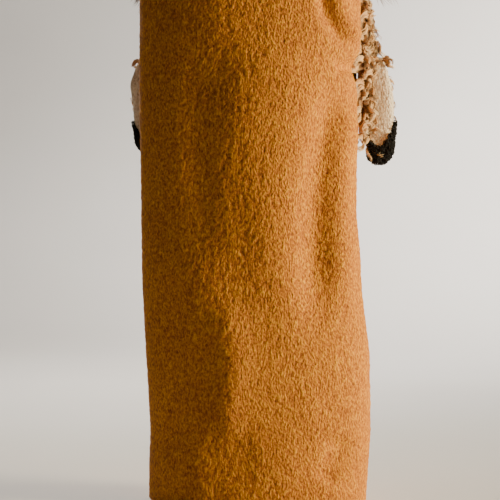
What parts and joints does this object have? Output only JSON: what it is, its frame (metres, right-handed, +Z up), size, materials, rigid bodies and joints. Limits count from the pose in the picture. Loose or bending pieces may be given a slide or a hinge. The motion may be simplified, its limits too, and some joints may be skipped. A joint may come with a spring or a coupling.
{
  "type": "plush bag puppet",
  "caption": "Plush hand puppet shaped like a paper bag: a long lined sleeve with a stuffed animal head flap that swings on its top fold to open the mouth, and hanging ears.",
  "frame": {"origin": "centre of the hand opening, in the plane of the hem", "axes": "+Z up along the sleeve to the crown; -Y is the way the face looks; +X is the puppet's own left"},
  "size_m": [0.1836, 0.162, 0.3955],
  "materials": {
    "sleeve_plush": "golden-brown short-pile plush",
    "head_plush": "tan short-pile plush",
    "muzzle_plush": "cream short-pile plush",
    "lining_cloth": "brown knitted lining",
    "label_tape": "white satin tape, blank",
    "dark_hair": "long dark brown and tan pile",
    "mane_fur": "shaggy tan pile",
    "ear_cream": "cream-grey short-pile plush",
    "ear_boucle": "black boucle",
    "mouth_felt": "dark red felt",
    "tongue_felt": "pink felt",
    "stuffing": "polyester fibre filling",
    "board": "stiff board",
    "nose_plastic": "moulded, low gloss",
    "eye_plastic": "moulded, high gloss",
    "washer_plastic": "moulded"
  },
  "bodies": {
    "sleeve": {"sleeve_back_panel": "sleeve_plush", "sleeve_front_panel": "sleeve_plush", "sleeve_lining": "lining_cloth", "hem_band": "sleeve_plush", "care_label": "label_tape", "crown_panel": "sleeve_plush", "crown_lining": "lining_cloth", "forelock": "dark_hair", "fold_seam_roll": "mouth_felt", "mouth_lining_lower": "mouth_felt", "mouth_board_lower": "board", "chin_skin": "muzzle_plush", "chin_stuffing": "stuffing"},
    "head_flap": {"head_skin": "head_plush", "head_stuffing": "stuffing", "finger_pocket": "lining_cloth", "mouth_board_upper": "board", "mouth_lining_upper": "mouth_felt", "muzzle_skin": "muzzle_plush", "muzzle_stuffing": "stuffing", "nose": "nose_plastic", "nose_washer": "washer_plastic", "eye_left": "eye_plastic", "eye_right": "eye_plastic", "eye_washer_left": "washer_plastic", "eye_washer_right": "washer_plastic", "mane_left": "mane_fur", "mane_right": "mane_fur", "ear_seam_left": "mane_fur", "ear_seam_right": "mane_fur"},
    "ear_left": {"ear_front_left": "mane_fur", "ear_lining_left": "ear_cream", "ear_tip_left": "ear_boucle"},
    "ear_right": {"ear_front_right": "mane_fur", "ear_lining_right": "ear_cream", "ear_tip_right": "ear_boucle"},
    "tongue": {"tongue": "tongue_felt"}
  },
  "joints": [
    {"name": "mouth_fold", "type": "hinge", "parent": "sleeve", "child": "head_flap", "pos_m": [0, -0.041, 0.338], "axis": [-1, 0, 0], "range_deg": [0, 60]},
    {"name": "ear_left_swing", "type": "hinge", "parent": "head_flap", "child": "ear_left", "pos_m": [0, -0.0565, 0.285], "axis": [1, 0, 0], "range_deg": [-40, 60]},
    {"name": "ear_right_swing", "type": "hinge", "parent": "head_flap", "child": "ear_right", "pos_m": [0, -0.0565, 0.285], "axis": [1, 0, 0], "range_deg": [-40, 60]},
    {"name": "tongue_swing", "type": "hinge", "parent": "sleeve", "child": "tongue", "pos_m": [0, -0.0615, 0.224], "axis": [-1, 0, 0], "range_deg": [0, 50]}
  ]
}
